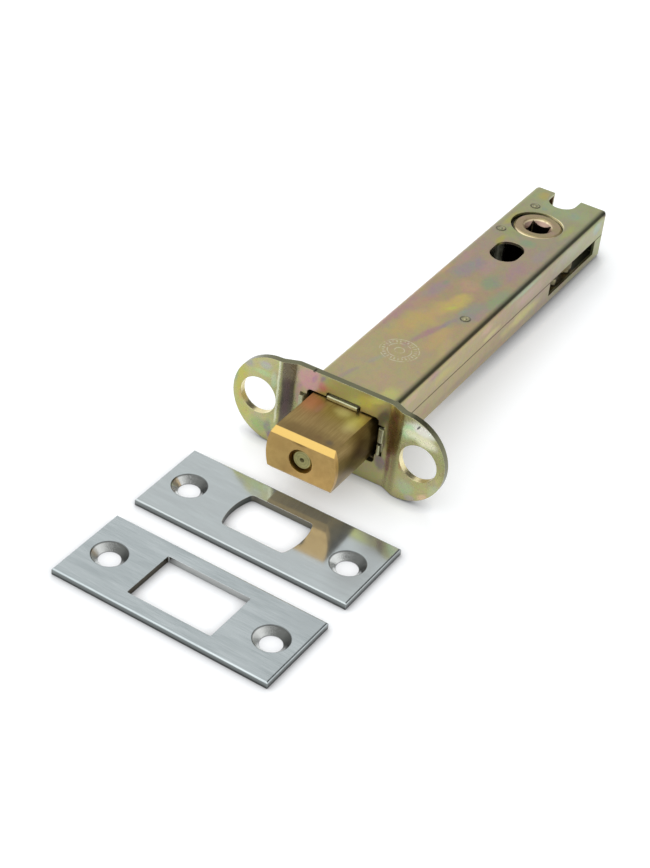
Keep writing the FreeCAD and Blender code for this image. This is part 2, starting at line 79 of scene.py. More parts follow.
class Paint:             # the nodes of one material, or of the world
    def __init__(self, holder):
        self.holder = holder
        self.fields = {}                     # what several parts of one finish share
        holder.use_nodes = True
        self.tree = holder.node_tree
        self.tree.nodes.clear()
        if isinstance(holder, bpy.types.Material):
            self.locate(self.node("ShaderNodeMapping", {}, {
                "Vector": self.node("ShaderNodeTexCoord", output="Object"), "Scale": (1 / mm, 1 / mm, 1 / mm)}))

    def locate(self, place):                 # the point that all patterns are measured from, in millimetres
        self.place = place
        self.x, self.y, self.z = self.split(place)

    def node(self, kind, settings=None, values=None, output=0):
        node = self.tree.nodes.new(kind)
        for key, value in (settings or {}).items():
            if key == "stops":
                while len(node.color_ramp.elements) < len(value):
                    node.color_ramp.elements.new(1.0)
                for element, (position, colour) in zip(node.color_ramp.elements, value):
                    element.position = position
                    element.color = colour
            else:
                setattr(node, key, value)
        for key, value in (values or {}).items():
            if isinstance(value, Wire):
                self.tree.links.new(value.socket, node.inputs[key])
            else:
                node.inputs[key].default_value = value
        return Wire(self, node.outputs[output])

    def math(self, operation, first, second=0.0):
        return self.node("ShaderNodeMath", {"operation": operation}, {0: first, 1: second})

    def split(self, vector):
        first = self.node("ShaderNodeSeparateXYZ", {}, {0: vector})
        return [Wire(self, socket) for socket in first.socket.node.outputs]

    def noise(self, scale, detail=3.0, stretch=(1, 1, 1), turn=(0, 0, 0), shift=(0, 0, 0), output="Fac"):
        spot = self.node("ShaderNodeMapping", {"vector_type": "POINT"}, {
            "Vector": self.node("ShaderNodeMapping", {"vector_type": "TEXTURE"}, {
                "Vector": self.place, "Location": shift, "Rotation": [math.radians(a) for a in turn]}),
            "Scale": stretch})
        return self.node("ShaderNodeTexNoise", {}, {"Vector": spot, "Scale": scale, "Detail": detail}, output)

    def smooth(self, value, low, high):      # 0 at low, 1 at high
        return self.node("ShaderNodeMapRange", {"interpolation_type": "SMOOTHSTEP"}, {
            "Value": value, "From Min": low, "From Max": high})

    def band(self, value, centre, half, edge):      # 1 within half of the centre, 0 past the edge
        return self.smooth((value - centre).size(), half + edge, half)

    def mix(self, first, second, share):
        return self.node("ShaderNodeMix", {"data_type": "RGBA"}, {     # 6, 7 and 2 are its sockets for colours
            0: share, 6: first, 7: second}, output=2)

    def shade(self, colour, amount):         # a colour made darker or lighter by a number
        return self.node("ShaderNodeVectorMath", {"operation": "SCALE"}, {0: colour, "Scale": amount})

    def ramp(self, value, stops):
        return self.node("ShaderNodeValToRGB", {"stops": stops}, {0: value})

    def ragged(self):                        # one uneven field that bends the rims of all patches
        if "ragged" not in self.fields:
            self.fields["ragged"] = self.node("ShaderNodeVectorMath", {"operation": "SUBTRACT"}, {
                0: self.noise(0.16, 4.0, shift=(11, 3, 7), output="Color"), 1: (0.5, 0.5, 0.5)})
        return self.fields["ragged"]

    def patch(self, centre, size, turn=(0, 0, 0), edge=0.9, wobble=1.05):      # 1 in the middle of an uneven oval
        near = self.node("ShaderNodeMapping", {"vector_type": "TEXTURE"}, {
            "Vector": self.place, "Location": centre, "Rotation": [math.radians(a) for a in turn], "Scale": size})
        near = self.node("ShaderNodeVectorMath", {"operation": "MULTIPLY_ADD"}, {
            0: self.ragged(), 1: (wobble, wobble, wobble), 2: near})
        reach = self.node("ShaderNodeVectorMath", {"operation": "LENGTH"}, {0: near}, output="Value")
        return self.smooth(reach, 1.0, 1.0 - edge)

    def stains(self, colour, stains, edge=0.9):      # each one: name, centre, size, turn, colour, strength
        for name, centre, size, turn, stain, share in stains:
            colour = self.mix(colour, stain, share * self.patch(centre, size, turn, edge))
            colour.socket.node.label = name
        return colour

    def facing(self):                        # the three parts of the normal that the face itself has
        if "normal" not in self.fields:
            self.fields["normal"] = self.split(self.node("ShaderNodeNewGeometry", output="Normal"))
        return self.fields["normal"]

    def fromAxis(self, centre, first="x", second="y"):      # the distance from a line, here an upright one
        across, along = getattr(self, first) - centre[0], getattr(self, second) - centre[1]
        return (across * across + along * along) ** 0.5

    def rounding(self, radius):              # the normal of edges that are rounded off
        return self.node("ShaderNodeBevel", {"samples": 4}, {"Radius": radius * mm})

    def edges(self, radius):                 # 1 on edges, 0 on faces
        flat = self.node("ShaderNodeNewGeometry", output="Normal")
        same = self.node("ShaderNodeVectorMath", {"operation": "DOT_PRODUCT"}, {
            0: self.rounding(radius), 1: flat}, output="Value")
        return self.smooth(1.0 - same, 0.03, 0.3)

    def bump(self, height, depth, radius):      # a relief, on edges rounded off by radius
        return self.node("ShaderNodeBump", {}, {
            "Height": height, "Distance": depth * mm, "Strength": 1.0, "Normal": self.rounding(radius)})

    def finish(self, colour, roughness, normal, metallic):
        surface = self.node("ShaderNodeBsdfPrincipled", {}, {
            "Base Color": colour, "Roughness": roughness, "Normal": normal, "Metallic": metallic})
        return self.show(surface)

    def show(self, surface, kind="ShaderNodeOutputMaterial"):
        self.tree.links.new(surface.socket, self.tree.nodes.new(kind).inputs["Surface"])
        return self.holder


def tone(red, green, blue):                  # a screen colour from 0 to 255, made linear
    return tuple([((v / 255 + 0.055) / 1.055) ** 2.4 for v in (red, green, blue)] + [1.0])


def dress(nodeName, material):               # a solid keeps its shape and gets its finish
    for slot in frame["nodes"][nodeName].material_slots:
        slot.link = "OBJECT"
        slot.material = material


# How the lock lies: on the low edge of its forend and the rear end of its case
forendLow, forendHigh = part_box("forend_plate")
lean = math.atan2(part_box("front_post")[0].z - forendLow.z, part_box("lower_shell")[1].y - forendHigh.y)
rise = forendHigh.z * math.cos(lean) + forendHigh.y * math.sin(lean)
floorToRow = Matrix.Rotation(lean, 4, "X") @ Matrix.Translation((0, 0, -rise))

cameraSet = {"azimuth": 27.63, "elevation": 37.78, "roll": 5.82, "distance": 538.31 * mm,
             "target": (-8.81 * mm, 10.93 * mm, 0.0), "lens": 86.75, "sensor": 36, "near": 10 * mm}


def makeCamera(s):
    azimuth, elevation, roll = [math.radians(s[key]) for key in ("azimuth", "elevation", "roll")]
    flat = math.cos(elevation)
    back = Vector((math.sin(azimuth) * flat, -math.cos(azimuth) * flat, math.sin(elevation)))
    side = Vector((0, 0, 1)).cross(back).normalized()
    up = back.cross(side)
    turn = Matrix((side * math.cos(roll) + up * math.sin(roll), up * math.cos(roll) - side * math.sin(roll), back))
    place = Matrix.Translation(Vector(s["target"]) + back * s["distance"])
    data = bpy.data.cameras.new("camera")
    data.sensor_fit = "VERTICAL"
    data.sensor_height = s["sensor"]
    data.lens = s["lens"]
    data.clip_start = s["near"]
    camera = bpy.data.objects.new("camera", data)
    scene.collection.objects.link(camera)
    camera.matrix_world = floorToRow @ place @ turn.transposed().to_4x4()
    scene.camera = camera


makeCamera(cameraSet)
print("camera placed, lean", round(math.degrees(lean), 3))

studioSet = {
    "sky": 0.94, "horizon": (0.08, 0.03),
    "glow": 0.75, "glowAt": (-0.42, -0.60, 0.68), "glowRim": (0.62, 0.97),
    "dark": 0.94, "darkAt": (0.24, 0.70, 0.67), "darkRim": (0.86, 0.965),
    "floorTone": tone(228, 230, 232), "floorLift": 0.27, "floorHalf": 30.0, "floorDrop": 0.1 * mm,
    "contactShadowTone": tone(112, 112, 116), "contactShadowReach": 4 * mm}


def makeStudio(s):
    world = bpy.data.worlds.new("studio")
    scene.world = world
    paint = Paint(world)
    way = paint.node("ShaderNodeTexCoord", output="Generated")

    def towards(direction):
        return paint.node("ShaderNodeVectorMath", {"operation": "DOT_PRODUCT"}, {
            0: way, 1: Vector(direction).normalized()}, output="Value")

    light = s["sky"] + s["glow"] * paint.smooth(towards(s["glowAt"]), *s["glowRim"])
    light = light * (1.0 - s["dark"] * paint.smooth(towards(s["darkAt"]), *s["darkRim"]))      # the bends mirror it
    light = light + (1.0 - s["sky"]) * paint.smooth(towards((0, 0, 1)), *s["horizon"])     # white by the floor's rim
    background = paint.node("ShaderNodeBackground", {}, {"Color": (1, 1, 1, 1), "Strength": light})
    paint.show(background, "ShaderNodeOutputWorld")

    corners = [Vector((x * s["floorHalf"], y * s["floorHalf"], -s["floorDrop"]))
               for x, y in ((-1, -1), (1, -1), (1, 1), (-1, 1))]
    mesh = bpy.data.meshes.new("floor")
    mesh.from_pydata([floorToRow @ corner for corner in corners], [], [(0, 1, 2, 3)])
    floor = bpy.data.objects.new("floor", mesh)
    scene.collection.objects.link(floor)
    paint = Paint(bpy.data.materials.new("floor_white"))
    seen = sum(paint.node("ShaderNodeLightPath", output=ray)
               for ray in ("Is Camera Ray", "Is Glossy Ray", "Is Transmission Ray"))
    # painted contact shadow: the floor is darker where the object is near
    unshaded = paint.node("ShaderNodeAmbientOcclusion", {"samples": 12}, {"Distance": s["contactShadowReach"]}, output="AO")
    matt = paint.node("ShaderNodeBsdfDiffuse", {}, {"Color": paint.mix(s["contactShadowTone"], s["floorTone"], unshaded)})
    shine = paint.node("ShaderNodeEmission", {}, {"Color": (1, 1, 1, 1), "Strength": seen * unshaded * s["floorLift"]})
    mesh.materials.append(paint.show(paint.node("ShaderNodeAddShader", {}, {0: matt, 1: shine})))


makeStudio(studioSet)

lampAim = Vector((0, 40 * mm, 0))
lampSets = [
    {"name": "lamp_back", "at": (-0.42, 0.70, 0.66), "size": 0.4, "power": 1.6},
    {"name": "lamp_left", "at": (-0.70, -0.10, 0.70), "size": 0.7, "power": 0.3}]


def makeLamps(sets):
    for s in sets:
        data = bpy.data.lights.new(s["name"], "AREA")
        data.size = s["size"]
        data.energy = s["power"]
        lamp = bpy.data.objects.new(s["name"], data)
        lamp.visible_glossy = False          # the metal mirrors the room alone
        scene.collection.objects.link(lamp)
        aim = (Vector(s["at"]) - lampAim).to_track_quat("Z", "Y").to_matrix().to_4x4()
        lamp.matrix_world = floorToRow @ Matrix.Translation(s["at"]) @ aim


makeLamps(lampSets)
print("studio lit")

posts = ("front_post", "middle_post", "rear_post")


def aroundPosts(paint):                      # the distance from the axis of each post
    reaches = []
    for post in posts:
        low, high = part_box(post)
        reaches.append(paint.fromAxis(((low.x + high.x) / 2 / mm, (low.y + high.y) / 2 / mm)))
    return reaches


# Case: zinc plate under a yellow passivate, gold in front, rose and mauve in the middle, green behind
caseSet = {
    "along": [(0.00, tone(168, 164, 122)), (0.12, tone(178, 168, 128)), (0.36, tone(176, 162, 120)),
              (0.50, tone(168, 150, 120)), (0.62, tone(164, 150, 126)), (0.72, tone(162, 150, 130)),
              (0.82, tone(154, 156, 126)), (1.00, tone(154, 164, 122))],
    "stains": [
        ("dark rear corner", (11.3, 132.8, 6.9), (0.9, 2.2, 0.8), (0, 0, 0), tone(52, 50, 54), 0.85),
        ("yellow by the forend", (7.5, 12, 7.2), (3.6, 4.5, 3), (0, 0, 0), tone(205, 204, 117), 0.7),
        ("rose in front", (1.5, 17, 7.2), (6.0, 7, 3), (0, 0, 0), tone(187, 163, 133), 0.5),
        ("grey in front", (-5.6, 14, 7.2), (1.1, 7.5, 3), (0, 0, -12), tone(164, 147, 145), 0.9),
        ("green in front", (-3.2, 24, 7.2), (1.3, 4.5, 3), (0, 0, -20), tone(159, 167, 146), 0.8),
        ("green low", (-7.6, 27, 7.2), (2.6, 6, 3), (0, 0, 0), tone(179, 169, 131), 0.6),
        ("gold point", (4.8, 43, 7.2), (3.4, 11, 3), (0, 0, 4), tone(194, 166, 118), 1.0),
        ("gold rim", (8.2, 40, 7.2), (1.8, 9.0, 3), (0, 0, 12), tone(191, 174, 123), 0.7),
        ("gold field", (-3.6, 47, 7.2), (5.0, 17, 3), (0, 0, -13), tone(195, 170, 110), 1.0),
        ("gold field behind", (0.2, 60, 7.2), (3.6, 10, 3), (0, 0, -13), tone(202, 181, 105), 1.0),
        ("lime core", (0.4, 57.5, 7.2), (1.0, 2.6, 3), (0, 0, -30), tone(197, 199, 89), 0.9),
        ("mauve streak", (1.4, 43.5, 7.2), (1.5, 12.5, 3), (0, 0, -14), tone(170, 136, 138), 1.0),
        ("violet streak", (3.2, 50, 7.2), (1.0, 4.5, 3), (0, 0, -14), tone(150, 134, 153), 0.9),
        ("grey by the post", (5.8, 59, 7.2), (3.8, 11, 3), (0, 0, -12), tone(145, 150, 143), 1.0),
        ("teal by the post", (3.9, 58, 7.2), (0.9, 3.0, 3), (0, 0, -20), tone(142, 154, 150), 0.8),
        ("mauve by the bend", (8.4, 61, 7.2), (1.6, 7, 3), (0, 0, 0), tone(168, 144, 146), 0.8),
        ("rose edge", (-9.8, 48, 7.2), (2.6, 21, 3), (0, 0, -3), tone(173, 142, 139), 1.0),
        ("brown edge", (-6.4, 60, 7.2), (2.0, 13, 3), (0, 0, -9), tone(178, 145, 127), 0.8),
        ("mauve edge", (-7.4, 64, 7.2), (2.8, 9, 3), (0, 0, -8), tone(157, 141, 147), 1.0),
        ("green spot", (-6.8, 68.5, 7.2), (1.1, 2.2, 3), (0, 0, 0), tone(129, 154, 126), 0.8),
        ("orange behind", (-0.8, 71, 7.2), (4.4, 6, 3), (0, 0, 0), tone(188, 153, 131), 0.85),
        ("ochre edge", (-10.2, 74, 7.2), (1.0, 6, 3), (0, 0, 0), tone(190, 161, 121), 0.8),
        ("green by the bend", (8.6, 70, 7.2), (3.6, 9, 3), (0, 0, 0), tone(138, 161, 128), 0.95),
        ("green field", (3.0, 77, 7.2), (3.4, 6.0, 3), (0, 0, 0), tone(130, 155, 130), 0.95),
        ("rose field", (6.0, 86, 7.2), (4.0, 9, 3), (0, 0, -8), tone(166, 141, 141), 0.9),
        ("pink field", (-1.4, 83, 7.2), (3.4, 6.5, 3), (0, 0, 0), tone(172, 144, 147), 0.85),
        ("mauve behind", (-6.0, 79, 7.2), (4.0, 9, 3), (0, 0, -6), tone(147, 141, 151), 0.9),
        ("rose behind", (-9.0, 84, 7.2), (2.0, 9, 3), (0, 0, 0), tone(175, 143, 143), 0.7),
        ("mauve by the slot", (7.2, 98, 7.2), (2.8, 7, 3), (0, 0, 0), tone(159, 141, 156), 0.7),
        ("olive by the slot", (-5.6, 98.5, 7.2), (1.6, 4.5, 3), (0, 0, 8), tone(167, 169, 74), 0.9),
        ("teal by the slot", (1.2, 101.8, 7.2), (3.2, 3.0, 3), (0, 0, 0), tone(123, 159, 130), 0.9),
        ("green rear", (0.0, 127, 7.2), (13, 9, 3), (0, 0, 0), tone(154, 173, 133), 0.8),
        ("green round the hub", (-5.4, 105, 7.2), (6.0, 5, 3), (0, 0, 0), tone(143, 166, 104), 0.7),
        ("yellow by the hub", (-8.8, 113, 7.2), (1.7, 8, 3), (0, 0, 0), tone(172, 174, 92), 0.8),
        ("yellow past the hub", (7.4, 115, 7.2), (1.6, 7, 3), (0, 0, 0), tone(164, 182, 97), 0.7),
        ("teal behind", (-3.6, 123, 7.2), (1.5, 1.8, 3), (0, 0, 0), tone(123, 161, 145), 0.7),
        ("teal by the bend", (5.0, 125, 7.2), (2.2, 3.0, 3), (0, 0, 0), tone(136, 168, 154), 0.6),
        ("ochre behind", (-7.0, 130, 7.2), (2.4, 4, 3), (0, 0, 0), tone(178, 167, 85), 0.8),
        ("rose on the side", (11.7, 16, 5.4), (2.5, 5, 1.6), (0, 0, 0), tone(203, 170, 148), 0.6),
        ("mauve on the side", (11.7, 28, 6.0), (2.5, 4, 1.4), (0, 0, 0), tone(170, 132, 144), 0.8),
        ("gold on the side", (11.7, 34, 3.2), (2.5, 12, 2.0), (0, 0, 0), tone(192, 183, 113), 0.85),
        ("pink on the side", (11.7, 58, 5.0), (2.5, 6, 1.8), (0, 0, 0), tone(204, 169, 150), 0.7),
        ("gold behind the pink", (11.7, 61, 2.0), (2.5, 7, 1.4), (0, 0, 0), tone(209, 207, 131), 0.7),
        ("rose field on the side", (11.7, 83, 3.4), (2.5, 13, 3.0), (0, 0, 0), tone(188, 159, 152), 0.8),
        ("green on the side", (11.7, 80, 6.6), (2.5, 14, 1.4), (0, 0, 0), tone(157, 179, 156), 0.8),
        ("grey on the side", (11.7, 108, 4.6), (2.5, 13, 3.4), (0, 0, 0), tone(163, 168, 150), 0.8),
        ("blue on the side", (11.7, 128, 4.4), (2.5, 4, 2.6), (0, 0, 0), tone(150, 175, 164), 0.8),
        ("brown on the low side", (11.7, 26, -3.0), (2.5, 7, 2.2), (0, 0, 0), tone(177, 149, 123), 0.7),
        ("gold on the low side", (11.7, 80, -2.0), (2.5, 15, 2.4), (0, 0, 0), tone(208, 204, 130), 0.8),
        ("grey on the low side", (11.7, 50, -4.8), (2.5, 26, 1.6), (0, 0, 0), tone(152, 138, 121), 0.7),
        ("green on the low side", (11.7, 116, -4.6), (2.5, 22, 2.6), (0, 0, 0), tone(139, 137, 104), 0.8)],
    "length": 134.0, "bend": tone(58, 64, 46), "bendFrom": (2.0, 3.5), "bendTo": (4.75, 4.2),
    "seam": tone(84, 72, 50), "seamAt": 0.4,
    "stamp": tone(212, 212, 184), "stampAt": (-0.41, 31.0), "stampFloor": (7.0, 7.2),
    "rings": ((5.15, 0.11), (3.2, 0.1), (1.3, 0.1)), "strokes": 26, "strokeRows": (3.65, 4.7),
    "hub": (-0.8, 113.1), "hubRim": (7.65, 7.4), "hubHighlight": tone(250, 240, 190),
    "postEdge": 1.36, "postLine": tone(70, 68, 50), "behindForend": (3.0, 4.5),
    "insideShade": tone(44, 44, 28), "rearBrown": tone(150, 112, 72), "rearBrownFrom": (125, 129), "inner": ((11.05, 10.95), (6.6, 6.5)),
    "tabFront": (1.95, 1.75), "tabs": (tone(150, 150, 122), tone(206, 206, 172)), "worn": tone(214, 210, 170)}
rainbow = [(0.32, tone(132, 170, 132)), (0.47, tone(186, 176, 96)),
           (0.58, tone(194, 134, 140)), (0.72, tone(142, 132, 170))]


def passivate(paint, colour, tint):          # the rainbow that drifts over the plate, and its fine grain
    drift = paint.noise(0.36, 4.0, stretch=(1.0, 0.55, 1.0), turn=(0, 0, 24))
    colour = paint.mix(colour, paint.ramp(drift, rainbow), tint)
    mottle = paint.noise(1.5, 3.0, stretch=(1.0, 0.7, 1.0), shift=(8, 1, 4))
    colour = paint.mix(colour, paint.ramp(mottle, rainbow), tint)
    grain = paint.noise(5.0, 3.0)
    speck = paint.smooth(paint.noise(2.2, 2.0, shift=(5, 5, 5)), 0.62, 0.76)
    colour = paint.shade(colour, 0.86 + 0.28 * grain - 0.14 * speck)
    return colour, grain


def caseSkin(s):
    paint = Paint(bpy.data.materials.new("passivated_case"))
    drift = paint.noise(0.075, 4.0, stretch=(1.5, 0.55, 1.5), turn=(0, 0, -14))
    fine = paint.noise(0.28, 4.0, stretch=(2.2, 0.35, 2.2), turn=(0, 0, -14), shift=(3, 9, 1))
    colour = paint.ramp((paint.y + 22.0 * (drift - 0.5) + 10.0 * (fine - 0.5)) / s["length"], s["along"])
    colour = paint.stains(colour, s["stains"], edge=0.75)
    colour, grain = passivate(paint, colour, 0.13)
    # the stamp is plain worn rings with a row of strokes between them
    reach = paint.fromAxis(s["stampAt"])
    angle = paint.math("ARCTAN2", paint.x - s["stampAt"][0], paint.y - s["stampAt"][1])
    stroke = paint.smooth(paint.math("SINE", angle * s["strokes"]), -0.1, 0.5)
    inmost, outmost = s["strokeRows"]
    stamp = stroke * paint.smooth(reach, inmost, inmost + 0.15) * paint.smooth(reach, outmost, outmost - 0.15)
    for radius, half in s["rings"]:
        stamp = stamp + paint.band(reach, radius, half, 0.12)
    worn = paint.smooth(paint.noise(0.9, 4.0, shift=(2, 2, 0)), 0.36, 0.56)
    stamp = stamp * worn * paint.smooth(paint.z, *s["stampFloor"])
    colour = paint.mix(colour, s["stamp"], 0.62 * stamp)
    # dark lines: a painted shade along the bend at the top, the seam, and round the staked posts
    corner = paint.x - paint.z.size()
    alongCase = paint.smooth(paint.facing()[1].size(), 0.6, 0.3)     # not on the end walls
    bend = paint.smooth(corner, *s["bendFrom"]) * paint.smooth(corner, *s["bendTo"]) * alongCase
    colour = paint.mix(colour, s["bend"], 0.78 * bend)
    behind = paint.smooth(paint.y, *s["behindForend"])
    colour = paint.mix(colour, s["seam"], 0.95 * paint.band(paint.z, s["seamAt"], 0.07, 0.2) * behind)
    for around in aroundPosts(paint):
        colour = paint.mix(colour, s["postLine"], 0.75 * paint.band(around, s["postEdge"], 0.06, 0.2))
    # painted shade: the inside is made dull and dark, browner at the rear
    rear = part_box("upper_shell")[1].y / mm
    across, upright = s["inner"]
    inside = (paint.smooth(paint.x.size(), *across) * paint.smooth(paint.z.size(), *upright) *
              paint.smooth(paint.y, rear - 0.3, rear - 0.6))
    brown = paint.smooth(paint.y, *s["rearBrownFrom"]) * paint.smooth(paint.z, 1.0, 3.0)
    colour = paint.mix(colour, paint.mix(s["insideShade"], s["rearBrown"], brown), 0.85 * inside * behind)
    # painted highlight on the far side of the rolled rim round the follower
    rim = paint.fromAxis(s["hub"])
    far = paint.smooth(0.9 * (paint.y - s["hub"][1]) - 0.4 * (paint.x - s["hub"][0]), -1.0, 3.0)
    paintedHighlight = paint.smooth(rim, *s["hubRim"]) * paint.smooth(paint.z, 6.3, 6.5) * far
    colour = paint.mix(colour, s["hubHighlight"], 0.9 * paintedHighlight)
    # the tabs in front are bare, ridged by the peening
    tab = paint.smooth(paint.y, *s["tabFront"])
    ridge = paint.noise(2.6, 1.0, stretch=(1.0, 0.1, 1.0), shift=(1, 0, 0))
    colour = paint.mix(colour, paint.mix(*s["tabs"], ridge), tab)
    # pale worn edges, partly a painted edge highlight
    colour = paint.mix(colour, s["worn"], 0.45 * paint.edges(0.18))
    height = 0.5 * grain + tab * ridge * 3.0 - 1.5 * stamp + 0.8 * paint.noise(1.1, 3.0, stretch=(1, 0.4, 1))
    normal = paint.bump(height, 0.012, 0.15)
    return paint.finish(colour, 0.30 + 0.16 * paint.noise(0.6, 4.0), normal, 0.94 - 0.6 * paintedHighlight - 0.5 * inside)


caseMaterial = caseSkin(caseSet)
for nodeName in ("upper_shell", "lower_shell"):
    dress(nodeName, caseMaterial)

forendSet = {
    "ground": tone(176, 178, 126), "cutEdge": tone(114, 114, 88), "holeEdge": tone(240, 228, 178),
    "holeAt": 23.2, "holeRim": (5.5, 5.3),
    "stains": [
        ("yellow rim left", (-28.6, 0, 1.5), (2.6, 4, 8), (0, 0, 0), tone(179, 177, 87), 0.9),
        ("yellow low left", (-27.4, 0, -6.5), (3.0, 4, 3.4), (0, 0, 0), tone(179, 178, 104), 0.8),
        ("orange left", (-28.4, 0, -1.8), (1.0, 4, 1.8), (0, 0, 0), tone(190, 159, 113), 0.7),
        ("teal rim left", (-30.2, 0, 3.5), (0.9, 4, 4.0), (0, 8, 0), tone(137, 170, 130), 0.8),
        ("grey top left", (-26.6, 0, 8.6), (2.2, 4, 2.0), (0, -30, 0), tone(153, 156, 158), 0.85),
        ("mauve top left", (-21.8, 0, 9.6), (2.6, 4, 1.9), (0, 0, 0), tone(166, 177, 172), 0.9),
        ("green top left", (-22.6, 0, 7.1), (3.6, 4, 1.2), (0, 0, 0), tone(172, 200, 149), 0.8),
        ("green by the bend", (-19.2, 0, 6.0), (1.2, 4, 3.0), (0, 0, 0), tone(182, 207, 175), 0.7),
        ("green low left", (-22.2, 0, -8.8), (4.4, 4, 2.8), (0, 0, 0), tone(140, 173, 117), 0.9),
        ("teal low left", (-19.8, 0, -8.0), (1.4, 4, 2.6), (0, 0, 0), tone(112, 128, 130), 0.7),
        ("violet low left", (-18.6, 0, -10.2), (1.6, 4, 2.0), (0, 0, 0), tone(114, 98, 137), 0.8),
        ("pink panel", (-9.8, 2, 9.6), (5.6, 4, 5.2), (0, 0, 0), tone(212, 162, 167), 1.0),
        ("pink strip", (-12.6, 2, 4.4), (1.5, 4, 5.0), (0, 0, 0), tone(185, 150, 146), 0.9),
        ("violet panel", (-8.6, 2, 10.2), (0.9, 4, 1.9), (0, 20, 0), tone(191, 148, 170), 0.85),
        ("violet panel edge", (-6.2, 2, 11.2), (0.9, 4, 1.4), (0, 30, 0), tone(154, 122, 159), 0.8),
        ("red panel", (-5.8, 2, 9.0), (2.0, 4, 1.9), (0, 0, 0), tone(207, 126, 149), 0.85),
        ("olive band", (0.8, 2, 10.0), (6.6, 4, 3.8), (0, 0, 0), tone(182, 197, 138), 1.0),
        ("yellow band", (6.0, 2, 9.6), (3.2, 4, 2.8), (0, -24, 0), tone(204, 211, 116), 0.9),
        ("yellow band top", (8.6, 2, 11.4), (4.0, 4, 1.6), (0, -20, 0), tone(210, 219, 134), 0.9),
        ("grey corner", (11.4, 2, 7.4), (1.9, 4, 4.4), (0, 22, 0), tone(93, 102, 91), 0.95),
        ("grey right", (11.8, 2, 1.0), (1.3, 4, 5.0), (0, 0, 0), tone(86, 91, 86), 0.9),
        ("violet low", (12.0, 2, -6.0), (2.2, 4, 3.2), (0, 0, 0), tone(123, 113, 131), 0.9),
        # brown slope and dark slope top are a painted reflection of the bolt's shaded right side
        ("brown slope", (15.0, 1, 6.0), (2.6, 4, 9.5), (0, 0, 0), tone(109, 86, 66), 1.0),
        ("dark slope top", (15.4, 1, 11.4), (1.8, 4, 2.4), (0, 0, 0), tone(88, 84, 62), 0.8),
        ("plum slope", (14.3, 1, -3.0), (1.2, 4, 9.0), (0, 0, 0), tone(117, 71, 81), 0.9),
        ("olive slope", (16.2, 1, -3.0), (1.1, 4, 10), (0, 0, 0), tone(154, 134, 100), 0.8),
        # white right, teal right and lime right are a painted highlight on the right ear
        ("white right", (23.6, 0, 9.8), (6.0, 4, 2.6), (0, 8, 0), tone(253, 253, 245), 1.0),
        ("teal right", (19.6, 0, 8.0), (2.2, 4, 3.6), (0, 20, 0), tone(196, 246, 194), 0.9),
        ("lime right", (24.0, 0, 6.8), (6.4, 4, 2.0), (0, 10, 0), tone(253, 253, 216), 1.0),
        ("yellow right", (28.9, 0, 1.0), (1.6, 4, 6.5), (0, 0, 0), tone(196, 196, 136), 0.85),
        ("gold by the hole", (18.5, 0, 0.5), (0.9, 4, 4.0), (0, 0, 0), tone(172, 160, 98), 0.8),
        ("orange by the hole", (18.6, 0, -2.6), (0.8, 4, 1.8), (0, 0, 0), tone(180, 142, 106), 0.8),
        ("green low right", (20.6, 0, -8.2), (3.4, 4, 3.0), (0, 0, 0), tone(169, 193, 157), 0.9),
        ("mauve low right", (22.6, 0, -11.0), (2.2, 4, 1.4), (0, 0, 0), tone(182, 171, 178), 0.85),
        ("pink low right", (25.8, 0, -9.4), (1.9, 4, 1.3), (0, -30, 0), tone(224, 193, 162), 0.9),
        ("green far right", (28.2, 0, -6.2), (1.8, 4, 3.2), (0, 20, 0), tone(178, 198, 154), 0.8)],
    # painted reflections along the bends: dark bands and a cream highlight line
    "bendShading": [                               # x, half width, soft rim, middle and half height, colour, strength
        (-15.4, 1.1, 0.8, (2, 14), tone(104, 96, 88), 0.95),
        (-15.4, 1.2, 0.8, (11.5, 2.5), tone(160, 152, 132), 0.7),
        (-15.6, 0.3, 0.8, (2.5, 4), tone(118, 88, 104), 0.35),
        (-17.75, 0.08, 0.4, (5, 9), tone(236, 236, 206), 0.8),
        (16.9, 0.2, 0.7, (-2, 8), tone(160, 156, 112), 0.6)],
    "earHighlight": ((24.0, 0, 8.4), (7.5, 4, 5.5)), "bends": (15.2, 3.4),
    "nicks": [((-9.0, 1.8, 12.4), (0.5, 2, 0.3), (0, 0, 0)), ((22.0, 0, 10.4), (0.3, 2, 1.0), (0, 32, 0)),
              ((24.6, 0, 11.9), (1.6, 2, 0.3), (0, 22, 0)), ((27.3, 0, 9.8), (1.5, 2, 0.28), (0, 42, 0)),
              ((29.0, 0, 7.4), (1.2, 2, 0.24), (0, 58, 0))],
    "topTab": ((0, 7.45), (4.5, 0.55)), "tabFront": (2.4, 2.0),
    "tabShadow": tone(36, 32, 18), "nick": tone(48, 46, 40), "worn": tone(222, 220, 184)}


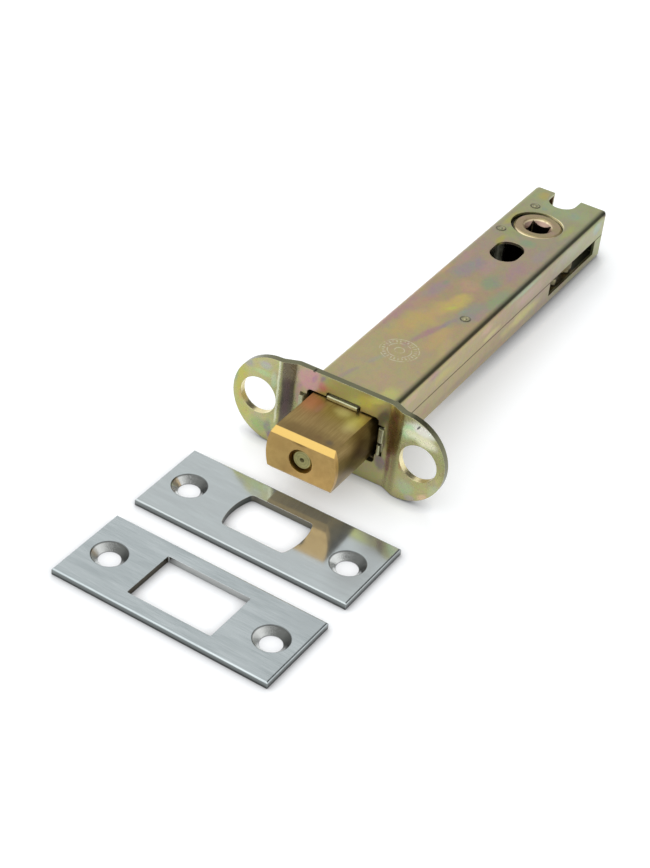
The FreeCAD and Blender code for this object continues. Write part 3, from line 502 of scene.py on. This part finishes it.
def forendSkin(s):
    paint = Paint(bpy.data.materials.new("passivated_forend"))
    colour = paint.stains(s["ground"], s["stains"], edge=0.65)
    colour, grain = passivate(paint, colour, 0.15)
    cutEdge = paint.smooth(paint.facing()[1].size(), 0.6, 0.3)      # the sheared edge all round, and the holes
    colour = paint.mix(colour, s["cutEdge"], cutEdge)
    inHole = ((paint.x.size() - s["holeAt"]) ** 2.0 + paint.z * paint.z) ** 0.5
    colour = paint.mix(colour, s["holeEdge"], 0.95 * cutEdge * paint.smooth(inHole, *s["holeRim"]))
    for at, half, soft, rows, line, share in s["bendShading"]:      # painted reflections: straight bands along the bends, in front only
        along = paint.band(paint.z, *rows, 3.0) * paint.smooth(paint.facing()[1], -0.3, -0.6)
        wavy = paint.x + 0.6 * paint.noise(0.4, 3.0)
        colour = paint.mix(colour, line, share * along * paint.band(wavy, at + 0.3, half, soft))
    # painted shadow in the gap round the top tab
    front = paint.smooth(paint.y, *s["tabFront"])
    (x, z), (halfX, halfZ) = s["topTab"]
    tabShadow = paint.band(paint.x, x, halfX, 0.2) * paint.band(paint.z, z, halfZ, 0.25)
    colour = paint.mix(colour, s["tabShadow"], 0.9 * tabShadow * front)
    for centre, size, turn in s["nicks"]:
        colour = paint.mix(colour, s["nick"], 0.9 * paint.patch(centre, size, turn, edge=0.5, wobble=0.36))
    # pale worn edges, partly a painted edge highlight, kept off the bends
    bends = paint.band(paint.x.size(), *s["bends"], 0.4) * (1.0 - cutEdge)
    colour = paint.mix(colour, s["worn"], 0.5 * paint.edges(0.2) * (1.0 - bends))
    height = 0.5 * grain + 1.2 * paint.noise(0.5, 4.0, shift=(5, 0, 5))
    normal = paint.bump(height, 0.014, 0.18)
    middle = paint.smooth(paint.x.size(), 13.5, 12.0)
    earHighlight = paint.patch(*s["earHighlight"])           # painted highlight: dull and white on the right ear
    return paint.finish(colour, 0.2 + 0.14 * paint.noise(0.4, 4.0) + 0.14 * middle, normal, 0.95 - 0.6 * earHighlight)


dress("forend_plate", forendSkin(forendSet))

boltSet = {
    "brass": tone(168, 146, 94), "dull": tone(148, 124, 78), "face": tone(210, 174, 110),
    "faceDull": tone(186, 150, 92), "faceFrom": (-15.75, -15.95), "chamfer": tone(206, 174, 101),
    "scuff": tone(126, 98, 60), "scuffAt": ((-1.0, -17.3, 4.9), (3.2, 2, 0.9)),
    "shadeAt": ((-6.5, -17.3, 3.0), (5.5, 3, 4.5)), "worn": tone(210, 184, 124),
    "stains": [
        # orange behind and yellow behind are stains, and partly a painted reflection of the forend's coloured front
        ("orange behind", (-6.4, -2.6, 6.4), (3.0, 5.4, 3), (0, 0, 0), tone(180, 146, 97), 1.0),
        ("mauve behind", (-3.8, -3.0, 6.4), (1.4, 3.6, 3), (0, 0, 0), tone(173, 142, 112), 0.8),
        ("yellow behind", (6.2, -3.4, 6.4), (3.2, 6.0, 3), (0, 0, 0), tone(206, 190, 132), 1.0),
        ("yellow middle", (1.6, -1.2, 6.4), (3.4, 2.8, 3), (0, 0, 0), tone(210, 194, 148), 0.9),
        ("dull front", (0.0, -15.4, 6.4), (14.0, 5.4, 3), (0, 0, 0), tone(130, 108, 67), 1.0),
        ("mauve front", (2.6, -14.0, 6.4), (1.8, 1.6, 3), (0, 0, 0), tone(129, 104, 68), 0.7),
        ("grey front", (5.6, -14.2, 6.4), (1.6, 1.6, 3), (0, 0, 0), tone(108, 98, 82), 0.7),
        # brown side is painted shade on the bolt's right side
        ("brown side", (10.4, -8.0, -0.5), (2.6, 16, 9.5), (0, 0, 0), tone(100, 80, 47), 1.0),
        ("mauve side", (10.4, -13.5, -2.6), (1.9, 4, 2.0), (0, 0, 0), tone(122, 104, 82), 0.7)]}


def boltSkin(s):
    paint = Paint(bpy.data.materials.new("brushed_brass"))
    streak = paint.noise(1.0, 4.0, stretch=(3.2, 0.16, 3.2))
    hair = paint.noise(1.0, 2.0, stretch=(9, 0.3, 9), shift=(4, 0, 2))
    onFace = paint.smooth(paint.y, *s["faceFrom"])
    speck = paint.noise(3.2, 3.0)
    drawn = paint.mix(s["dull"], s["brass"], paint.smooth(streak, 0.2, 0.8))
    drawn = paint.stains(drawn, s["stains"])
    cloud = paint.smooth(paint.noise(0.5, 4.0, shift=(3, 3, 3)), 0.3, 0.7)
    cut = paint.mix(s["faceDull"], s["face"], 0.5 * speck + 0.5 * cloud)
    cut = paint.mix(cut, s["scuff"], 0.7 * paint.patch(*s["scuffAt"]))
    cut = paint.mix(cut, s["faceDull"], 0.75 * paint.patch(*s["shadeAt"]))
    chamfer = paint.smooth(paint.facing()[2], 0.3, 0.5) * onFace
    colour = paint.mix(drawn, paint.mix(cut, s["chamfer"], chamfer), onFace)
    colour = paint.shade(colour, 0.84 + 0.24 * hair)
    # pale worn edges, partly a painted edge highlight
    colour = paint.mix(colour, s["worn"], 0.4 * paint.edges(0.15))
    height = (1.0 - onFace) * (0.8 * hair + 0.9 * streak) + onFace * speck * 0.8
    normal = paint.bump(height, 0.015, 0.12)
    return paint.finish(colour, 0.28 + 0.14 * speck, normal, 1.0)


dress("bolt_head", boltSkin(boltSet))

steelSets = {
    "rivet_end": {"nodes": ("tie_rivet",), "first": tone(176, 170, 116), "second": tone(158, 152, 104),
                  "roughness": 0.3, "metallic": 1.0, "turnedAt": (0.0, 0.0)},
    "zinc_plate": {"nodes": ("tie_washer", "carrier_plate", "bar_rivet_front", "bar_rivet_rear"),
                   "first": tone(176, 176, 168), "second": tone(160, 156, 134), "roughness": 0.32, "metallic": 1.0},
    "passivated_post": {"nodes": posts, "first": tone(172, 166, 132), "second": tone(150, 150, 122),
                        "roughness": 0.3, "metallic": 1.0, "ringAt": 1.3, "highlightInsideTo": (6.4, 6.2)},
    "bar_brown": {"nodes": ("drive_bar",), "first": tone(108, 92, 54), "second": tone(82, 70, 42),
                  "roughness": 0.4, "metallic": 0.7},
    "spring_worn": {"nodes": ("friction_spring",), "first": tone(196, 198, 180), "second": tone(150, 152, 130),
                    "roughness": 0.35, "metallic": 0.4}}
steelTones = {"worn": tone(224, 222, 206), "pip": tone(52, 46, 26),
              "line": tone(62, 60, 44), "insideHighlight": tone(236, 238, 222)}


def steelSkin(name, s):
    paint = Paint(bpy.data.materials.new(name))
    cloud = paint.noise(0.6, 4.0)
    grain = paint.noise(6.0, 3.0)
    metal = paint.mix(s["first"], s["second"], paint.smooth(cloud, 0.35, 0.7))
    metal = paint.shade(metal, 0.9 + 0.2 * grain)
    height, metallic = grain, s["metallic"]
    if "turnedAt" in s:                      # fine rings about an axis along Y, and the pip in their middle
        reach = paint.fromAxis(s["turnedAt"], "x", "z")
        ring = paint.math("SINE", reach * 9.0)
        metal = paint.shade(metal, 0.92 + 0.1 * ring)
        metal = paint.mix(metal, steelTones["pip"], 0.85 * paint.smooth(reach, 0.75, 0.45))
        height = grain + ring
    if "ringAt" in s:                        # a dark line between a post's end and the sheet
        for around in aroundPosts(paint):
            metal = paint.mix(metal, steelTones["line"], 0.8 * paint.band(around, s["ringAt"], 0.05, 0.22))
    # pale worn edges, partly a painted edge highlight
    metal = paint.mix(metal, steelTones["worn"], 0.35 * paint.edges(0.13))
    if "highlightInsideTo" in s:                      # painted highlight: white and dull inside the case
        inside = paint.smooth(paint.z.size(), *s["highlightInsideTo"])
        metal, metallic = paint.mix(metal, steelTones["insideHighlight"], inside), metallic - 0.8 * inside
    return paint.finish(metal, s["roughness"] + 0.12 * cloud, paint.bump(height, 0.008, 0.1), metallic)


for name, s in steelSets.items():
    s["material"] = steelSkin(name, s)
    for nodeName in s["nodes"]:
        dress(nodeName, s["material"])

pinSet = {"paintedHighlight": tone(214, 204, 164), "dark": tone(62, 54, 32), "towards": (0.46, -0.89),
          "top": (-2.8, -3.3), "foot": (-5.0, -4.5)}


def pinSkin(s):                              # painted highlight on the side that faces the window, painted shade on the rest
    paint = Paint(bpy.data.materials.new("worn_pin"))
    across, along, _ = paint.facing()
    facing = paint.smooth(across * s["towards"][0] + along * s["towards"][1], 0.7, 0.93)
    # painted highlight in a band between the top and the foot; above and below it is painted shade
    worn = facing * paint.smooth(paint.z, *s["top"]) * paint.smooth(paint.z, *s["foot"])
    grain = paint.noise(5.0, 3.0)
    metal = paint.shade(paint.mix(s["dark"], s["paintedHighlight"], worn), 0.85 + 0.3 * grain)
    return paint.finish(metal, 0.4 - 0.1 * worn, paint.bump(grain, 0.008, 0.1), 0.4)


pinMaterial = pinSkin(pinSet)
for nodeName in ("drive_pin_front", "drive_pin_middle", "drive_pin_rear"):
    dress(nodeName, pinMaterial)

followerSet = {
    "bronze": tone(160, 140, 110), "olive": tone(156, 144, 104), "rose": tone(168, 138, 128),
    "toothShade": tone(104, 94, 60), "cone": tone(158, 132, 122), "rimHighlight": tone(236, 222, 184), "rims": (4.05, 6.75),
    "gapShade": tone(26, 24, 14), "gapFrom": 7.0, "gapTo": 8.4, "wellShade": 3.1, "worn": tone(232, 222, 178)}


def followerSkin(s):
    paint = Paint(bpy.data.materials.new("cast_bronze"))
    turning = next(joint for joint in frame["joints"] if joint["name"] == "follower_turn")
    centre = (turning["pos_m"][0] / mm, turning["pos_m"][1] / mm)
    cloud = paint.noise(0.35, 4.0)
    sand = paint.noise(3.6, 3.0)
    metal = paint.mix(s["bronze"], s["olive"], paint.smooth(cloud, 0.38, 0.66))
    blush = paint.smooth(paint.noise(0.3, 3.0, shift=(9, 2, 5)), 0.52, 0.7)
    metal = paint.mix(metal, s["rose"], 0.6 * blush)
    metal = paint.shade(metal, 0.68 + 0.64 * sand)
    reach = paint.fromAxis(centre)
    middle, half = (s["gapFrom"] + s["gapTo"]) / 2, (s["gapTo"] - s["gapFrom"]) / 2
    # painted shade on the follower where it shows in the gap round the hub
    metal = paint.mix(metal, s["gapShade"], paint.band(reach, middle, half, 0.06))
    # painted shade: the teeth are made dark
    metal = paint.mix(metal, s["toothShade"], paint.smooth(reach, s["gapTo"] + 0.1, s["gapTo"] + 0.5))
    # painted shade down the well of the drive hole
    wellShade = paint.smooth(reach, s["wellShade"] + 1.2, s["wellShade"] + 0.9) * paint.smooth(paint.z.size(), 5.9, 5.2)
    cone = paint.smooth(reach, s["rims"][0] + 0.05, s["rims"][0] - 0.1)
    metal = paint.mix(metal, s["cone"], 0.85 * cone)
    metal = paint.mix(metal, s["gapShade"], 0.85 * wellShade)
    for radius in s["rims"]:                 # painted highlights on the rims, broken up by noise
        highlightBreak = paint.smooth(paint.noise(0.5, 3.0), 0.3, 0.5)
        metal = paint.mix(metal, s["rimHighlight"], 0.7 * paint.band(reach, radius, 0.05, 0.22) * highlightBreak)
    # pale worn edges within the gap, partly a painted edge highlight
    within = paint.smooth(reach, s["gapFrom"] + 0.1, s["gapFrom"])
    metal = paint.mix(metal, s["worn"], 0.6 * paint.edges(0.2) * within)
    normal = paint.bump(sand, 0.02, 0.18)
    return paint.finish(metal, 0.26 + 0.14 * cloud, normal, 1.0)


dress("follower", followerSkin(followerSet))

plateSets = {
    "face_plate": {"turn": -1.8, "light": tone(188, 196, 197), "dark": tone(176, 183, 184),
                   "dull": tone(140, 142, 140), "wall": tone(84, 88, 84), "farWallShade": tone(112, 110, 100),
                   "roughness": 0.07, "metallic": 0.86, "streak": 0.05, "depth": 0.001, "fine": 16.0,
                   "veils": [((27, 9.5, 0), (9, 6.5, 4), 0.8), ((26, -2, 0), (8, 12, 4), 0.45)]},
    "strike_plate": {"turn": -2.2, "light": tone(194, 202, 204), "dark": tone(168, 177, 179),
                     "dull": tone(176, 184, 186), "wall": tone(70, 64, 50), "farWallShade": tone(176, 178, 176),
                     "roughness": 0.2, "metallic": 1.0, "streak": 0.3, "depth": 0.004, "fine": 20.0,
                     "veils": [((27, 9.5, 0), (9, 6.5, 4), 0.8)]}}
plateHoles = {"at": 23.2, "rim": 4.5, "boreShade": 2.5,
              "dark": tone(84, 86, 84), "light": tone(232, 235, 233), "line": tone(70, 72, 70)}
plateEdge = {"long": (26.4, 25.4), "short": (11.2, 10.2), "side": tone(128, 133, 132), "foot": tone(62, 64, 62),
             "worn": tone(236, 240, 242)}


def plateSkin(nodeName, s):
    paint = Paint(bpy.data.materials.new(nodeName + "_satin"))
    low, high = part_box(nodeName)
    paint.locate(paint.node("ShaderNodeMapping", {"vector_type": "TEXTURE"}, {     # as if it lay straight at the origin
        "Vector": paint.place, "Location": (low + high) / 2 / mm, "Rotation": (lean, 0, math.radians(s["turn"]))}))
    hair = paint.noise(1.0, 3.0, stretch=(0.22, s["fine"], s["fine"]))
    cloud = paint.noise(1.0, 3.0, stretch=(0.06, 0.5, 0.5), shift=(7, 3, 0))
    metal = paint.mix(s["dark"], s["light"], paint.smooth(0.5 * hair + 0.5 * cloud, 0.3, 0.7))
    metal = paint.shade(metal, 1.0 - s["streak"] / 2 + s["streak"] * hair)
    for centre, size, share in s["veils"]:
        metal = paint.mix(metal, s["dull"], share * paint.patch(centre, size, wobble=0.3))
    # painted shade: side walls, darker towards the floor and in the openings
    across, along, up = paint.facing()
    side = paint.smooth(up, 0.45, 0.15)
    wall = paint.mix(s["wall"], s["farWallShade"], paint.smooth(along, -0.5, -0.8))
    skirt = paint.mix(plateEdge["foot"], plateEdge["side"], paint.smooth(paint.z, -0.9, 0.1))
    inner = paint.smooth(paint.x.size(), *plateEdge["long"]) * paint.smooth(paint.y.size(), *plateEdge["short"])
    reach = ((paint.x.size() - plateHoles["at"]) ** 2.0 + paint.y * paint.y) ** 0.5
    metal = paint.mix(metal, paint.mix(skirt, wall, inner), side)
    sink = paint.smooth(reach, plateHoles["rim"] + 0.1, plateHoles["rim"] - 0.1)
    # painted light and shade in the countersinks, by the way each part of the cone faces
    sinkShading = paint.smooth(0.8 * along + 0.5 * across + 1.3 * (hair - 0.5), -0.55, 0.3)
    metal = paint.mix(metal, paint.mix(plateHoles["dark"], plateHoles["light"], sinkShading), sink)
    # painted shade down the bore
    boreShade = paint.smooth(reach, plateHoles["boreShade"] + 0.5, plateHoles["boreShade"] + 0.1)
    metal = paint.mix(metal, plateHoles["line"], 0.8 * boreShade)
    # pale worn edges, partly a painted edge highlight
    metal = paint.mix(metal, plateEdge["worn"], 0.5 * paint.edges(0.15))
    metal = paint.mix(metal, plateHoles["line"], 0.75 * paint.band(reach, plateHoles["rim"], 0.04, 0.22))
    normal = paint.bump(hair, s["depth"], 0.12)
    return paint.finish(metal, s["roughness"] + 0.06 * hair + 0.1 * sink, normal, s["metallic"])


for nodeName, s in plateSets.items():
    dress(nodeName, plateSkin(nodeName, s))
print("finishes laid on")

stakeSet = {"ring": 1.12 * mm, "bead": 0.14 * mm, "nub": 0.62 * mm, "flat": 0.45, "sink": 0.02 * mm,
            "ringSteps": 32, "beadSteps": 8, "nubSegments": 20, "nubRings": 10}


def stakeTree(s, material):                  # a ring and a flattened nub on each point
    tree = bpy.data.node_groups.new("stakedEnds", "GeometryNodeTree")
    tree.interface.new_socket("Geometry", in_out="INPUT", socket_type="NodeSocketGeometry")
    settings = {}
    for label, key in (("Ring Radius", "ring"), ("Bead Radius", "bead"),
                       ("Nub Radius", "nub"), ("Nub Flatness", "flat")):
        socket = tree.interface.new_socket(label, in_out="INPUT", socket_type="NodeSocketFloat")
        settings[socket.identifier] = s[key]
    tree.interface.new_socket("Geometry", in_out="OUTPUT", socket_type="NodeSocketGeometry")

    def add(kind, values):                   # a value is a number, a material, or a node and its output's name
        node = tree.nodes.new(kind)
        for key, value in values.items():
            if isinstance(value, tuple):
                tree.links.new(value[0].outputs[value[1]], node.inputs[key])
            else:
                node.inputs[key].default_value = value
        return node

    entry = add("NodeGroupInput", {})
    circle = add("GeometryNodeCurvePrimitiveCircle", {"Resolution": s["ringSteps"], "Radius": (entry, "Ring Radius")})
    bead = add("GeometryNodeCurvePrimitiveCircle", {"Resolution": s["beadSteps"], "Radius": (entry, "Bead Radius")})
    ring = add("GeometryNodeCurveToMesh", {"Curve": (circle, "Curve"), "Profile Curve": (bead, "Curve")})
    ball = add("GeometryNodeMeshUVSphere", {
        "Segments": s["nubSegments"], "Rings": s["nubRings"], "Radius": (entry, "Nub Radius")})
    size = add("ShaderNodeCombineXYZ", {"X": 1, "Y": 1, "Z": (entry, "Nub Flatness")})
    nub = add("GeometryNodeTransform", {"Geometry": (ball, "Mesh"), "Scale": (size, "Vector")})
    join = add("GeometryNodeJoinGeometry", {"Geometry": (ring, "Mesh")})
    tree.links.new(nub.outputs["Geometry"], join.inputs["Geometry"])
    spread = add("GeometryNodeInstanceOnPoints", {"Points": (entry, "Geometry"), "Instance": (join, "Geometry")})
    smooth = add("GeometryNodeSetShadeSmooth", {"Geometry": (spread, "Instances")})
    solid = add("GeometryNodeRealizeInstances", {"Geometry": (smooth, "Geometry")})
    dressed = add("GeometryNodeSetMaterial", {"Geometry": (solid, "Geometry"), "Material": material})
    add("NodeGroupOutput", {"Geometry": (dressed, "Geometry")})
    return tree, settings


def makeStakedEnds(s, material):             # what the riveting punch leaves on the ends of each post
    spots = []
    for post in posts:
        low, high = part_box(post)
        middle = (low + high) / 2
        spots += [(middle.x, middle.y, high.z - s["sink"]), (middle.x, middle.y, low.z + s["sink"])]
    mesh = bpy.data.meshes.new("staked_spots")
    mesh.from_pydata(spots, [], [])
    carrier = bpy.data.objects.new("staked_spots", mesh)
    scene.collection.objects.link(carrier)
    modifier = carrier.modifiers.new("stakes", "NODES")
    modifier.node_group, settings = stakeTree(s, material)
    for identifier, value in settings.items():
        modifier[identifier] = value
    seen = carrier.evaluated_get(bpy.context.evaluated_depsgraph_get())
    plain = bpy.data.meshes.new_from_object(seen)
    carrier.modifiers.clear()
    bpy.data.objects.remove(carrier)
    piece = bpy.data.objects.new("staked_ends", plain)
    scene.collection.objects.link(piece)
    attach(piece, "case")


makeStakedEnds(stakeSet, steelSets["passivated_post"]["material"])
print("staked ends made")

scene.view_settings.view_transform = "Standard"
